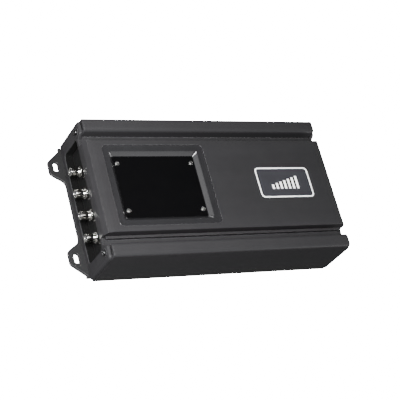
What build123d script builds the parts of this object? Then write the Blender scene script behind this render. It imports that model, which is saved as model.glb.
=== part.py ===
"""A compact four-channel car amplifier: extruded heatsink body, caps, boards, terminals and controls.

Units are millimetres. X runs along the body, from the input end (-X) to the power end (+X),
Y runs across it and Z points up. The origin is on the ground, under the middle of the body.
"""

import os

from build123d import *

# ---- overall sizes ----
body_length = 270.0
body_width = 150.0
body_height = 58.0

# ---- general clearances ----
fit_gap = 0.05  # round parts that seat in a hole
slip_gap = 0.15  # flat parts that drop into a pocket
free_gap = 0.3  # parts that only pass each other
running_gap = 0.06  # a shaft that turns in its bore

# ---- heatsink section ----
side_wall = 3.0
wall_foot = 1.0
wing_width = 14.4
wing_wall = 2.5
wing_roof = 3.0
edge_radius = 4.0
inner_edge_radius = 4.0
groove_width = 8.2
groove_depth = 13.0
groove_floor = 2.5
crown_depth = 9.0
crown_wall = 3.5
boss_width = 9.8
upper_boss_height = 45.5
lower_boss_height = 14.0
boss_half = 4.2

# ---- screws ----
cap_screw_radius = 1.8
cap_screw_reach = 11.0
cap_screw_inset = 9.5
screw_head_radius = 3.0
screw_head_height = 2.0
board_screw_radius = 1.45
base_screw_radius = 1.75
window_screw_radius = 1.5

# ---- base plate ----
base_thickness = 3.0
base_overhang = 5.5
ear_reach = 20.0
ear_inset = 24.5
ear_tip_width = 14.0
ear_root_width = 39.0
slot_length = 10.0
slot_width = 5.0
slot_setback = 8.0
base_screw_setback = 25.0
base_screw_inset = 7.0

# ---- top cover, window and badge ----
cover_ledge = 2.4
cover_wall = 2.0
cover_bevel_length = 6.0
cover_bevel_drop = 0.9
window_setback = 69.6
ring_length = 112.0
ring_width = 88.0
ring_radius = 5.0
ring_drop = 1.0
rim_length = 98.5
rim_width = 76.0
rim_radius = 3.0
bevel_size = 4.0
panel_thickness = 2.5
window_screw_x = 41.0
window_screw_y = 26.0
bay_length = 73.0
bay_width = 62.0
badge_setback = 58.0
badge_length = 65.5
badge_width = 35.8
badge_thickness = 0.8
badge_border = 1.7
badge_margin = 0.6
inlay_depth = 0.3
bar_count = 7
bar_width = 2.6
bar_pitch = 5.0

# ---- end caps ----
cap_thickness = 3.0
cap_wing_drop = 5.5
cap_crown_bevel = 6.0
cap_foot_gap = 0.2
pad_height = 0.5
mouth_side_gap = 2.2
mouth_bottom = 8.0
mouth_top = 41.0
mouth_radius = 4.0
sleeve_wall = 1.2
sleeve_depth = 5.5
panel_wall = 1.5
panel_lap = 1.0

# ---- input jacks ----
jack_count = 4
jack_pitch = 24.0
jack_centre = -4.6
jack_height = 27.0
jack_radius = 4.15
jack_wall = 0.8
jack_reach = 7.0
jack_lip = 0.4
thread_depth = 0.25
thread_shoulder = 0.4
contact_radius = 2.1
contact_bore = 1.65
flange_thickness = 1.5
flange_lap = 1.85
nut_wall = 0.85
nut_thickness = 4.0
nut_washer = 1.6
washer_plate = 0.8
washer_lap = 1.85
washer_step = 1.05

# ---- boards ----
board_thickness = 1.6
standoff_height = 6.0
board_side_gap = 2.7
board_input_gap = 17.0
board_power_gap = 11.0
standoff_setback = 27.0
standoff_inset = 22.0

# ---- terminals and fuses ----
terminal_depth = 22.0
terminal_setback = 1.0
power_ways = 3
power_pitch = 13.0
power_hole = 8.6
power_height = 19.0
power_inset = 22.0
speaker_ways = 8
speaker_pitch = 6.2
speaker_hole = 5.2
speaker_height = 16.0
speaker_inset = 27.0
clamp_wall = 0.5
fuse_centre = 4.5
fuse_length = 19.0
fuse_thickness = 5.0
fuse_pitch = 11.0

# ---- transistors ----
device_count = 8
device_pitch = 21.0
device_offset = 15.0
device_foot = 22.0

# ---- controls ----
control_pitch_x = 25.0
control_row_y = 17.0
knob_radius = 4.0
shaft_radius = 3.0
knob_gap = 0.5
slider_travel = 2.0

# ---- derived places ----
half_length = body_length / 2
half_width = body_width / 2
wing_inner = half_width - wing_width
groove_inner = wing_inner - groove_width
groove_level = body_height - groove_depth
crown_level = body_height - crown_depth
boss_inner = half_width - side_wall - boss_width
ear_centre = half_width - ear_inset
window_offset = window_setback - half_length
badge_offset = half_length - badge_setback
cover_width = 2 * (groove_inner - cover_ledge)
mouth_width = 2 * (boss_inner - mouth_side_gap)
cap_face = half_length + cap_thickness
panel_front = half_length - sleeve_depth
panel_back = panel_front - panel_wall
board_level = base_thickness + standoff_height
board_left = board_input_gap - half_length
board_right = half_length - board_power_gap
board_half_width = boss_inner - board_side_gap
standoff_x = half_length - standoff_setback
standoff_y = half_width - standoff_inset
terminal_front = half_length - terminal_setback
power_centre = mouth_width / 2 - power_inset
speaker_centre = speaker_inset - mouth_width / 2
board_top = board_level + board_thickness
rim_level = body_height - ring_drop
pane_level = rim_level - bevel_size
pane_under = pane_level - panel_thickness
jack_tip = cap_face + jack_reach
nut_across = 2 * (jack_radius + nut_wall)
flange_radius = jack_radius + flange_lap
washer_radius = jack_radius + washer_lap
washer_step_radius = jack_radius + washer_step
control_panel_level = crown_level - crown_wall
control_board_level = control_panel_level - 11.5


def save(builder, name):
    """Label one finished piece and write its STEP file."""
    builder.part.label = name
    export_step(builder.part, f"parts/{name}.step")


def pair(inner, outer, low, high):
    """Add a rectangle on each side of the middle plane to the open sketch of a YZ section."""
    middle = (inner + outer) / 2
    with Locations((-middle, (low + high) / 2), (middle, (low + high) / 2)):
        Rectangle(outer - inner, high - low)


def wing_screws(level):
    """The two places of an end-cap screw at one height, as (Y, Z)."""
    place = half_width - cap_screw_inset
    return [(-place, level), (place, level)]


os.makedirs("parts", exist_ok=True)
end_screw_places = wing_screws(upper_boss_height)
base_screw_x = half_length - base_screw_setback
base_screw_y = half_width - base_screw_inset
base_screw_places = [(x, y) for x in (-base_screw_x, 0, base_screw_x) for y in (-base_screw_y, base_screw_y)]
window_screw_places = [
    (window_offset + sx * window_screw_x, sy * window_screw_y) for sx in (-1, 1) for sy in (-1, 1)
]
clamp_screw_places = [device_offset + step * device_pitch for step in (-3, -1, 1, 3)]
device_places = [device_offset + (i - (device_count - 1) / 2) * device_pitch for i in range(device_count)]
clamp_level = device_foot + 8.0
pad_thickness = 0.3
device_thickness = 4.5
clamp_bar = 2.0
bar_face = half_width - side_wall - pad_thickness - device_thickness - clamp_bar

# ================= housing =================

with BuildPart() as heatsink_body:
    with BuildSketch(Plane.YZ) as section:
        pair(half_width - side_wall, half_width, wall_foot, body_height)
        pair(wing_inner, half_width, body_height - wing_roof, body_height)
        pair(wing_inner, wing_inner + wing_wall, groove_level - groove_floor, body_height)
        pair(groove_inner - side_wall, wing_inner + wing_wall, groove_level - groove_floor, groove_level)
        pair(groove_inner - side_wall, groove_inner, groove_level - groove_floor, crown_level)
        with Locations((0, crown_level - crown_wall / 2)):
            Rectangle(2 * groove_inner, crown_wall)
        pair(boss_inner, half_width - side_wall, upper_boss_height - boss_half, upper_boss_height + boss_half)
        pair(boss_inner, half_width - side_wall, lower_boss_height - boss_half, lower_boss_height + boss_half)
        pair(boss_inner + 2, half_width - side_wall, base_thickness, lower_boss_height)
        crests = section.vertices().filter_by(lambda v: v.Y > body_height - 0.1)
        fillet(crests.filter_by(lambda v: abs(v.X) > half_width - 0.1), edge_radius)
        inner_crests = section.vertices().filter_by(lambda v: v.Y > body_height - 0.1)
        fillet(inner_crests.filter_by(lambda v: abs(v.X) < wing_inner + 0.1), inner_edge_radius)
    extrude(amount=half_length, both=True)
    chamfer(heatsink_body.edges().filter_by(Axis.Y).group_by(Axis.Z)[-1], 0.7)
    with BuildSketch(Plane.XY.offset(crown_level)) as bay:
        with Locations((window_offset, 0)):
            RectangleRounded(bay_length, bay_width, 3)
        with Locations(*window_screw_places):
            Circle(window_screw_radius + fit_gap)
    extrude(amount=-crown_wall, mode=Mode.SUBTRACT)
    for side in (-1, 1):
        with BuildSketch(Plane.YZ.offset(side * half_length)) as end_holes:
            with Locations(*end_screw_places):
                Circle(cap_screw_radius + fit_gap)
        extrude(amount=-side * (cap_screw_reach + 1), mode=Mode.SUBTRACT)
        with BuildSketch(Plane.XZ.offset(side * (half_width - side_wall))) as clamp_holes:
            with Locations(*[(x, clamp_level) for x in clamp_screw_places]):
                Circle(window_screw_radius + fit_gap)
        extrude(amount=side * 2.0, mode=Mode.SUBTRACT)
    with BuildSketch(Plane.XY.offset(base_thickness)) as rib_holes:
        with Locations(*base_screw_places):
            Circle(base_screw_radius + fit_gap)
    extrude(amount=8, mode=Mode.SUBTRACT)
save(heatsink_body, "heatsink_body")

with BuildPart() as top_cover:
    with BuildSketch(Plane.XZ) as side_view:
        with BuildLine() as side_outline:
            Polyline(
                (-half_length, crown_level),
                (half_length, crown_level),
                (half_length, body_height - cover_bevel_drop),
                (half_length - cover_bevel_length, body_height),
                (cover_bevel_length - half_length, body_height),
                (-half_length, body_height - cover_bevel_drop),
                close=True,
            )
        make_face()
    extrude(amount=cover_width / 2, both=True)
    fillet(top_cover.edges().filter_by(Axis.X).group_by(Axis.Z)[-1], 0.8)
    end_edges = top_cover.edges().filter_by(lambda e: abs(abs(e.center().X) - half_length) < 0.01)
    chamfer(end_edges.filter_by(Axis.Y).group_by(Axis.Z)[-1], 0.5)
    with BuildSketch(Plane.XY.offset(crown_level)) as hollow:
        Rectangle(body_length, cover_width - 2 * cover_wall)
    extrude(amount=crown_depth - cover_wall - cover_bevel_drop, mode=Mode.SUBTRACT)
    with BuildSketch(Plane.XY.offset(crown_level)) as window_hole:
        with Locations((window_offset, 0)):
            RectangleRounded(ring_length + 2 * slip_gap, ring_width + 2 * slip_gap, ring_radius + slip_gap)
    extrude(amount=crown_depth, mode=Mode.SUBTRACT)
    with BuildSketch(Plane.XY.offset(body_height)) as badge_pocket:
        with Locations((badge_offset, 0)):
            RectangleRounded(badge_length + 2 * slip_gap, badge_width + 2 * slip_gap, 5 + slip_gap)
    extrude(amount=-badge_thickness, mode=Mode.SUBTRACT)
save(top_cover, "top_cover")

with BuildPart() as end_cap_left:
    with BuildSketch(Plane.YZ.offset(-half_length)) as cap_outline:
        with BuildLine() as cap_edge:
            Polyline(
                (half_width, base_thickness + cap_foot_gap),
                (half_width, body_height - cap_wing_drop),
                (wing_inner + 0.6, body_height - cap_wing_drop),
                (wing_inner - 3.6, groove_level + 0.4),
                (cover_width / 2 + 0.2, groove_level + 0.4),
                (cover_width / 2 + 0.2, body_height - cover_bevel_drop - slip_gap),
                (0, body_height - cover_bevel_drop - slip_gap),
            )
            mirror(about=Plane.YZ)
            Line(
                (half_width, base_thickness + cap_foot_gap),
                (-half_width, base_thickness + cap_foot_gap),
            )
        make_face()
        shoulders = cap_outline.vertices().filter_by(lambda v: abs(v.X) > half_width - 0.1)
        fillet(shoulders.filter_by(lambda v: v.Y > groove_level), edge_radius)
    extrude(amount=-cap_thickness)
    outer_face = end_cap_left.faces().sort_by(Axis.X)[0]
    chamfer(
        outer_face.edges().filter_by(Axis.Y).sort_by(Axis.Z)[-1],
        length=cap_crown_bevel,
        length2=cap_thickness - 0.2,
        reference=outer_face,
    )
    outer_face = end_cap_left.faces().sort_by(Axis.X)[0]
    fillet(outer_face.edges().filter_by(lambda e: abs(e.center().Y) > half_width - 2.0), cap_thickness - 0.4)
    with BuildSketch(Plane.YZ.offset(-half_length)) as sleeve_ring:
        with Locations((0, (mouth_bottom + mouth_top) / 2)):
            RectangleRounded(
                mouth_width + 2 * sleeve_wall,
                mouth_top - mouth_bottom + 2 * sleeve_wall,
                mouth_radius + sleeve_wall,
            )
    extrude(amount=sleeve_depth)
    with BuildSketch(Plane.YZ.offset(-cap_face)) as pads:
        with Locations(*end_screw_places):
            Circle(screw_head_radius + 1.4)
    extrude(amount=-pad_height)
    with BuildSketch(Plane.YZ.offset(-cap_face)) as mouth:
        with Locations((0, (mouth_bottom + mouth_top) / 2)):
            RectangleRounded(mouth_width, mouth_top - mouth_bottom, mouth_radius)
    extrude(amount=cap_thickness + sleeve_depth, mode=Mode.SUBTRACT)
    with BuildSketch(Plane.YZ.offset(-cap_face - 1)) as cap_holes:
        with Locations(*end_screw_places):
            Circle(cap_screw_radius + fit_gap)
    extrude(amount=cap_thickness + 1, mode=Mode.SUBTRACT)
    lip = end_cap_left.edges().filter_by(lambda e: abs(e.center().X + cap_face) < 0.01)
    chamfer(lip.filter_by(lambda e: abs(e.center().Y) < mouth_width / 2 + 0.1), 0.6)
save(end_cap_left, "end_cap_left")

with BuildPart() as end_cap_right:
    mirror(end_cap_left.part, about=Plane.YZ)
save(end_cap_right, "end_cap_right")

with BuildPart() as cap_screws_left:
    seat = cap_face + pad_height
    for y, z in end_screw_places:
        with BuildSketch(Plane.YZ.offset(-seat)) as cap_head:
            with Locations((y, z)):
                Circle(screw_head_radius)
        extrude(amount=-screw_head_height)
        rim = cap_screws_left.edges().filter_by(lambda e: e.center().X < 0.01 - seat - screw_head_height)
        fillet(rim.sort_by(lambda e: abs(e.center().Y - y) + abs(e.center().Z - z))[0], 0.9)
        with BuildSketch(Plane.YZ.offset(-seat)) as cap_shank:
            with Locations((y, z)):
                Circle(cap_screw_radius)
        extrude(amount=seat - half_length + cap_screw_reach)
        with BuildSketch(Plane.YZ.offset(-seat - screw_head_height)) as cap_cross:
            with Locations((y, z)):
                Rectangle(3.4, 0.8)
                Rectangle(0.8, 3.4)
        extrude(amount=1.2, mode=Mode.SUBTRACT)
save(cap_screws_left, "cap_screws_left")

with BuildPart() as cap_screws_right:
    mirror(cap_screws_left.part, about=Plane.YZ)
save(cap_screws_right, "cap_screws_right")

with BuildPart() as base_plate:
    edge_x = half_length + base_overhang
    plate_y = half_width - side_wall - free_gap
    with BuildSketch() as plate_outline:
        Rectangle(2 * edge_x, 2 * plate_y)
        with BuildLine() as ear_outline:
            Polyline(
                (half_length, plate_y),
                (half_length + 2, plate_y),
                (half_length + ear_reach, ear_centre + ear_tip_width / 2 - 1.0),
                (half_length + ear_reach, ear_centre - ear_tip_width / 2 - 1.0),
                (edge_x, plate_y - ear_root_width),
                (half_length, plate_y - ear_root_width),
                close=True,
            )
        make_face()
        mirror(about=Plane.XZ)
        mirror(about=Plane.YZ)
        tips = plate_outline.vertices().filter_by(lambda v: abs(v.X) > half_length + ear_reach - 0.1)
        fillet(tips, 5)
        roots = plate_outline.vertices().filter_by(
            lambda v: abs(abs(v.X) - edge_x) < 0.1 and abs(v.Y) < plate_y - ear_root_width + 1
        )
        fillet(roots, 8)
        with Locations(*[(sx * (half_length + ear_reach - slot_setback), sy * ear_centre)
                         for sx in (-1, 1) for sy in (-1, 1)]):
            SlotOverall(slot_length, slot_width, rotation=90, mode=Mode.SUBTRACT)
    extrude(amount=base_thickness)
    chamfer(base_plate.edges().group_by(Axis.Z)[-1].filter_by(lambda e: abs(e.center().X) > half_length), 0.5)
    with Locations(*[Location((x, y, 0), (180, 0, 0)) for x, y in base_screw_places]):
        CounterSinkHole(base_screw_radius + fit_gap, 3.3, base_thickness)
    with BuildSketch() as spigot_holes:
        with GridLocations(standoff_x, 2 * standoff_y, 3, 2):
            Circle(2.2 + fit_gap)
    extrude(amount=base_thickness, mode=Mode.SUBTRACT)
save(base_plate, "base_plate")

with BuildPart() as base_screws:
    for x, y in base_screw_places:
        with BuildSketch(Plane(origin=(x, y, 0), x_dir=(1, 0, 0), z_dir=(0, -1, 0))) as base_half:
            with BuildLine() as base_profile:
                Polyline((0, 0.2), (3.0, 0.2), (base_screw_radius, 1.6), (base_screw_radius, 10), (0, 10), close=True)
            make_face()
        revolve(axis=Axis((x, y, 0), (0, 0, 1)))
save(base_screws, "base_screws")

# ================= window and badge =================

with BuildPart() as window_bezel:
    with BuildSketch(Plane.XY.offset(crown_level)) as ring_outline:
        with Locations((window_offset, 0)):
            RectangleRounded(ring_length, ring_width, ring_radius)
    extrude(amount=body_height - 0.2 - crown_level)
    with BuildSketch(Plane.XY.offset(body_height - 0.2)) as dish_top:
        with Locations((window_offset, 0)):
            RectangleRounded(ring_length - 0.6, ring_width - 0.6, ring_radius - 0.3)
    with BuildSketch(Plane.XY.offset(rim_level)) as dish_bottom:
        with Locations((window_offset, 0)):
            RectangleRounded(rim_length, rim_width, rim_radius)
    loft(sections=[dish_top.sketch.face(), dish_bottom.sketch.face()], mode=Mode.SUBTRACT)
    with BuildSketch(Plane.XY.offset(rim_level)) as slope_top:
        with Locations((window_offset, 0)):
            RectangleRounded(rim_length, rim_width, rim_radius)
    with BuildSketch(Plane.XY.offset(pane_level)) as slope_bottom:
        with Locations((window_offset, 0)):
            RectangleRounded(rim_length - 2 * bevel_size, rim_width - 2 * bevel_size, 1.2)
    loft(sections=[slope_top.sketch.face(), slope_bottom.sketch.face()], mode=Mode.SUBTRACT)
    with BuildSketch(Plane.XY.offset(pane_under)) as pane_well:
        with Locations((window_offset, 0)):
            RectangleRounded(rim_length - 2 * bevel_size, rim_width - 2 * bevel_size, 1.2)
    extrude(amount=panel_thickness, mode=Mode.SUBTRACT)
    with BuildSketch(Plane.XY.offset(crown_level)) as shelf_hole:
        with Locations((window_offset, 0)):
            RectangleRounded(bay_length, bay_width, 3)
        with Locations(*window_screw_places):
            Circle(window_screw_radius + fit_gap)
    extrude(amount=crown_depth, mode=Mode.SUBTRACT)
    with BuildSketch(Plane.XY.offset(crown_level)) as core_out:
        with Locations((window_offset, 0)):
            RectangleRounded(ring_length - 4, ring_width - 4, ring_radius - 2)
            RectangleRounded(rim_length - 2, rim_width - 2, 2, mode=Mode.SUBTRACT)
    extrude(amount=rim_level - crown_level - 2.5, mode=Mode.SUBTRACT)
save(window_bezel, "window_bezel")

with BuildPart() as window_panel:
    with BuildSketch(Plane.XY.offset(pane_under)) as pane:
        with Locations((window_offset, 0)):
            RectangleRounded(
                rim_length - 2 * bevel_size - 2 * slip_gap,
                rim_width - 2 * bevel_size - 2 * slip_gap,
                1.0,
            )
        with Locations(*window_screw_places):
            Circle(window_screw_radius + slip_gap, mode=Mode.SUBTRACT)
    extrude(amount=panel_thickness)
    chamfer(window_panel.edges().group_by(Axis.Z)[-1].filter_by(GeomType.LINE), 0.3)
save(window_panel, "window_panel")

with BuildPart() as window_screws:
    for x, y in window_screw_places:
        with BuildSketch(Plane(origin=(x, y, 0), x_dir=(1, 0, 0), z_dir=(0, -1, 0))) as window_half:
            with BuildLine() as window_profile:
                shank_end = control_panel_level - 1.0
                Line((0, shank_end), (window_screw_radius, shank_end))
                Line((window_screw_radius, shank_end), (window_screw_radius, pane_level))
                Line((window_screw_radius, pane_level), (2.7, pane_level))
                Line((2.7, pane_level), (2.7, pane_level + 0.6))
                ThreePointArc((2.7, pane_level + 0.6), (1.6, pane_level + 1.35), (0, pane_level + 1.6))
                Line((0, pane_level + 1.6), (0, shank_end))
            make_face()
        revolve(axis=Axis((x, y, 0), (0, 0, 1)))
    with BuildSketch(Plane.XY.offset(pane_level + 1.7)) as window_cross:
        with Locations(*window_screw_places):
            Rectangle(2.8, 0.7)
            Rectangle(0.7, 2.8)
    extrude(amount=-1.1, mode=Mode.SUBTRACT)
save(window_screws, "window_screws")

bar_places = [(badge_offset + (i - (bar_count - 1) / 2) * bar_pitch, 5.0 + 1.6 * i) for i in range(bar_count)]
bar_foot = -7.5
border_length = badge_length - 2 * badge_margin
border_width = badge_width - 2 * badge_margin

with BuildPart() as badge_plate:
    with BuildSketch(Plane.XY.offset(body_height)) as badge_outline:
        with Locations((badge_offset, 0)):
            RectangleRounded(badge_length, badge_width, 5)
    extrude(amount=-badge_thickness)
    with BuildSketch(Plane.XY.offset(body_height)) as inlay_pockets:
        with Locations((badge_offset, 0)):
            RectangleRounded(border_length + 2 * fit_gap, border_width + 2 * fit_gap, 4.4 + fit_gap)
            RectangleRounded(
                border_length - 2 * badge_border - 2 * fit_gap,
                border_width - 2 * badge_border - 2 * fit_gap,
                2.7 - fit_gap,
                mode=Mode.SUBTRACT,
            )
        for x, height in bar_places:
            with Locations((x, bar_foot + height / 2)):
                Rectangle(bar_width + 2 * fit_gap, height + 2 * fit_gap)
    extrude(amount=-inlay_depth, mode=Mode.SUBTRACT)
save(badge_plate, "badge_plate")

with BuildPart() as badge_border_inlay:
    with BuildSketch(Plane.XY.offset(body_height)) as border_ring:
        with Locations((badge_offset, 0)):
            RectangleRounded(border_length, border_width, 4.4)
            RectangleRounded(
                border_length - 2 * badge_border, border_width - 2 * badge_border, 2.7, mode=Mode.SUBTRACT
            )
    extrude(amount=-inlay_depth)
save(badge_border_inlay, "badge_border")

with BuildPart() as badge_bars:
    with BuildSketch(Plane.XY.offset(body_height)) as bar_shapes:
        for x, height in bar_places:
            with Locations((x, bar_foot + height / 2)):
                Rectangle(bar_width, height)
    extrude(amount=-inlay_depth)
save(badge_bars, "badge_bars")

# ================= input end =================

jack_places = [(jack_centre + (i - (jack_count - 1) / 2) * jack_pitch, jack_height) for i in range(jack_count)]
thread_radius = jack_radius - thread_depth
thread_hole = thread_radius + free_gap
input_board_face = panel_back - 6.5
washer_front = panel_front + nut_washer
nut_front = washer_front + nut_thickness
thread_end = nut_front + thread_shoulder
socket_floor = jack_tip - 11.0

with BuildPart() as input_panel:
    with BuildSketch(Plane.YZ.offset(-panel_front)) as input_outline:
        with Locations((0, (mouth_bottom + mouth_top) / 2)):
            Rectangle(mouth_width + 2 * panel_lap, mouth_top - mouth_bottom + 2 * panel_lap)
        with Locations(*jack_places):
            Circle(thread_hole, mode=Mode.SUBTRACT)
    extrude(amount=panel_wall)
save(input_panel, "input_panel")


def turned(points, x_axis, places):
    """Revolve one (X, radius) outline about each (Y, Z) place; an X is measured towards x_axis."""
    for y, z in places:
        plane = Plane(origin=(0, y, z), x_dir=(x_axis, 0, 0), z_dir=(0, 1, 0))
        side = 1 if plane.y_dir.Z > 0 else -1
        with BuildSketch(plane) as outline:
            with BuildLine() as edge:
                Polyline(*[(x, side * radius) for x, radius in points], close=True)
            make_face(edge.line.edges())
        revolve(outline.sketch, axis=Axis((0, y, z), (1, 0, 0)))


with BuildPart() as rca_shells:
    bore = jack_radius - jack_wall
    turned(
        [
            (jack_tip, bore),
            (jack_tip, jack_radius - jack_lip),
            (jack_tip - jack_lip, jack_radius),
            (thread_end, jack_radius),
            (thread_end, thread_radius),
            (panel_back, thread_radius),
            (panel_back, flange_radius),
            (panel_back - flange_thickness, flange_radius),
            (panel_back - flange_thickness, thread_radius),
            (input_board_face, thread_radius),
            (input_board_face, 1.6),
            (socket_floor, 1.6),
            (socket_floor, bore),
        ],
        -1,
        jack_places,
    )
save(rca_shells, "rca_shells")

with BuildPart() as rca_insulators:
    turned(
        [
            (jack_tip - 1.0, bore - fit_gap),
            (jack_tip - 1.0, contact_radius + fit_gap),
            (socket_floor + 1.0, contact_radius + fit_gap),
            (socket_floor + 1.0, 0.75),
            (input_board_face, 0.75),
            (input_board_face, 1.55),
            (socket_floor + 0.05, 1.55),
            (socket_floor + 0.05, bore - fit_gap),
        ],
        -1,
        jack_places,
    )
save(rca_insulators, "rca_insulators")

with BuildPart() as rca_contacts:
    turned(
        [
            (jack_tip - 1.2, contact_bore),
            (jack_tip - 1.2, contact_radius),
            (socket_floor + 1.1, contact_radius),
            (socket_floor + 1.1, 0.7),
            (input_board_face - 3.0, 0.7),
            (input_board_face - 3.0, 0),
            (socket_floor + 2.5, 0),
            (socket_floor + 2.5, contact_bore),
        ],
        -1,
        jack_places,
    )
save(rca_contacts, "rca_contacts")

with BuildPart() as rca_washers:
    turned(
        [
            (panel_front, thread_radius + 2 * fit_gap),
            (panel_front, washer_radius),
            (panel_front + washer_plate, washer_radius),
            (panel_front + washer_plate, washer_step_radius),
            (washer_front, washer_step_radius),
            (washer_front, thread_radius + 2 * fit_gap),
        ],
        -1,
        jack_places,
    )
save(rca_washers, "rca_washers")

with BuildPart() as rca_nuts:
    with BuildSketch(Plane.YZ.offset(-washer_front)) as nut_shape:
        with Locations(*jack_places):
            RegularPolygon(nut_across / 2, 6, major_radius=False, rotation=30)
            Circle(thread_radius + fit_gap, mode=Mode.SUBTRACT)
    extrude(amount=-nut_thickness)
    chamfer(rca_nuts.faces().filter_by(Plane.YZ).edges().filter_by(GeomType.LINE), 0.5)
save(rca_nuts, "rca_nuts")

with BuildPart() as input_board:
    with BuildSketch(Plane.YZ.offset(-input_board_face)) as input_board_outline:
        with Locations((jack_centre, 26)):
            Rectangle(96, 26)
        with Locations(*jack_places):
            Circle(0.8, mode=Mode.SUBTRACT)
    extrude(amount=board_thickness)
save(input_board, "input_board")

# ================= power and speaker end =================

terminal_back = terminal_front - terminal_depth
power_places = [power_centre + (i - (power_ways - 1) / 2) * power_pitch for i in range(power_ways)]
speaker_places = [speaker_centre + (i - (speaker_ways - 1) / 2) * speaker_pitch for i in range(speaker_ways)]
power_length = power_ways * power_pitch + 2.0
speaker_length = speaker_ways * speaker_pitch + 2.0
power_mouth_level = board_top + 2.0 + power_hole / 2
speaker_mouth_level = board_top + 2.4 + speaker_hole / 2
power_screw_level = board_top + power_height - 4.0
speaker_screw_level = board_top + speaker_height - 3.4
fuse_levels = [18.0, 18.0 + fuse_pitch]
fuse_holder_height = fuse_levels[-1] + 6.0 - board_top
terminal_blocks = [
    (power_centre, power_length, power_height),
    (speaker_centre, speaker_length, speaker_height),
    (fuse_centre, fuse_length + 3.0, fuse_holder_height),
]


def terminal_body(centre, length, height, front):
    """A block that stands on the main board, from the back of the terminals to front."""
    with BuildSketch(Plane.YZ.offset(terminal_back)) as block_end:
        with Locations((centre, board_top + height / 2)):
            Rectangle(length, height)
    extrude(block_end.sketch, amount=front - terminal_back)


def sink_boxes(front, places, level, width, height, depth):
    """Cut one square-edged hole per place into the face at front."""
    with BuildSketch(Plane.YZ.offset(front)) as mouths:
        with Locations(*[(y, level) for y in places]):
            Rectangle(width, height)
    extrude(mouths.sketch, amount=-depth, mode=Mode.SUBTRACT)


def sink_holes(front, places, level, radius, depth):
    """Cut one round hole per place into the face at front."""
    with BuildSketch(Plane.YZ.offset(front)) as holes:
        with Locations(*[(y, level) for y in places]):
            Circle(radius)
    extrude(holes.sketch, amount=-depth, mode=Mode.SUBTRACT)


def wire_clamps(places, level, hole, depth):
    """Square metal sleeves that line the wire holes."""
    with BuildSketch(Plane.YZ.offset(terminal_front - 1.0)) as sleeves:
        with Locations(*[(y, level) for y in places]):
            Rectangle(hole, hole)
            Rectangle(hole - 2 * clamp_wall, hole - 2 * clamp_wall, mode=Mode.SUBTRACT)
    extrude(sleeves.sketch, amount=-depth)


def slotted_screws(places, level, radius, head, depth):
    """Cheese-head screws set in the face of a terminal block, with a driver slot."""
    seat = terminal_front - 1.6
    with BuildSketch(Plane.YZ.offset(seat)) as heads:
        with Locations(*[(y, level) for y in places]):
            Circle(head)
    extrude(heads.sketch, amount=1.4)
    with BuildSketch(Plane.YZ.offset(seat)) as shanks:
        with Locations(*[(y, level) for y in places]):
            Circle(radius)
    extrude(shanks.sketch, amount=-depth)
    with BuildSketch(Plane.YZ.offset(seat + 1.4)) as slots:
        with Locations(*[(y, level) for y in places]):
            Rectangle(0.7, 2 * head + 1)
    extrude(slots.sketch, amount=-0.8, mode=Mode.SUBTRACT)


with BuildPart() as output_panel:
    with BuildSketch(Plane.YZ.offset(panel_back)) as output_outline:
        with Locations((0, (mouth_bottom + mouth_top) / 2)):
            Rectangle(mouth_width + 2 * panel_lap, mouth_top - mouth_bottom + 2 * panel_lap)
        for centre, length, height in terminal_blocks:
            with Locations((centre, board_top + height / 2)):
                Rectangle(length + 2 * free_gap, height + 2 * free_gap, mode=Mode.SUBTRACT)
    extrude(amount=panel_wall)
save(output_panel, "output_panel")

with BuildPart() as power_terminal_block:
    terminal_body(power_centre, power_length, power_height, terminal_front)
    sink_boxes(terminal_front, power_places, power_mouth_level, power_hole + 0.1, power_hole + 0.1, 15)
    sink_holes(terminal_front, power_places, power_screw_level, 2.9, 1.6)
    sink_holes(terminal_front, power_places, power_screw_level, 1.75, 10)
save(power_terminal_block, "power_terminal_block")

with BuildPart() as power_terminal_clamps:
    wire_clamps(power_places, power_mouth_level, power_hole, 13)
save(power_terminal_clamps, "power_terminal_clamps")

with BuildPart() as power_terminal_screws:
    slotted_screws(power_places, power_screw_level, 1.7, 2.8, 8)
save(power_terminal_screws, "power_terminal_screws")

with BuildPart() as speaker_terminal_block:
    terminal_body(speaker_centre, speaker_length, speaker_height, terminal_front)
    sink_boxes(terminal_front, speaker_places, speaker_mouth_level, speaker_hole + 0.1, speaker_hole + 0.1, 12)
    sink_holes(terminal_front, speaker_places, speaker_screw_level, 2.3, 1.6)
    sink_holes(terminal_front, speaker_places, speaker_screw_level, 1.35, 9)
save(speaker_terminal_block, "speaker_terminal_block")

with BuildPart() as speaker_terminal_clamps:
    wire_clamps(speaker_places, speaker_mouth_level, speaker_hole, 10)
save(speaker_terminal_clamps, "speaker_terminal_clamps")

with BuildPart() as speaker_terminal_screws:
    slotted_screws(speaker_places, speaker_screw_level, 1.3, 2.2, 7)
save(speaker_terminal_screws, "speaker_terminal_screws")

fuse_front = panel_front + 0.3

with BuildPart() as fuse_holder:
    terminal_body(fuse_centre, fuse_length + 3.0, fuse_holder_height, fuse_front)
    for level in fuse_levels:
        blade_places = [fuse_centre - 6.7, fuse_centre + 6.7]
        sink_boxes(fuse_front, blade_places, level, 5.4, 0.9, 9)
save(fuse_holder, "fuse_holder")

with BuildPart() as fuse_bodies:
    for level in fuse_levels:
        with BuildSketch(Plane.YZ.offset(fuse_front + 0.1)) as fuse_outline:
            with Locations((fuse_centre, level)):
                RectangleRounded(fuse_length, fuse_thickness, 0.8)
        extrude(amount=7.5)
        with BuildSketch(Plane.YZ.offset(fuse_front + 7.6)) as fuse_cap:
            with Locations((fuse_centre, level)):
                RectangleRounded(fuse_length - 5, fuse_thickness - 0.6, 0.8)
        extrude(amount=1.2)
save(fuse_bodies, "fuse_bodies")

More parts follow.
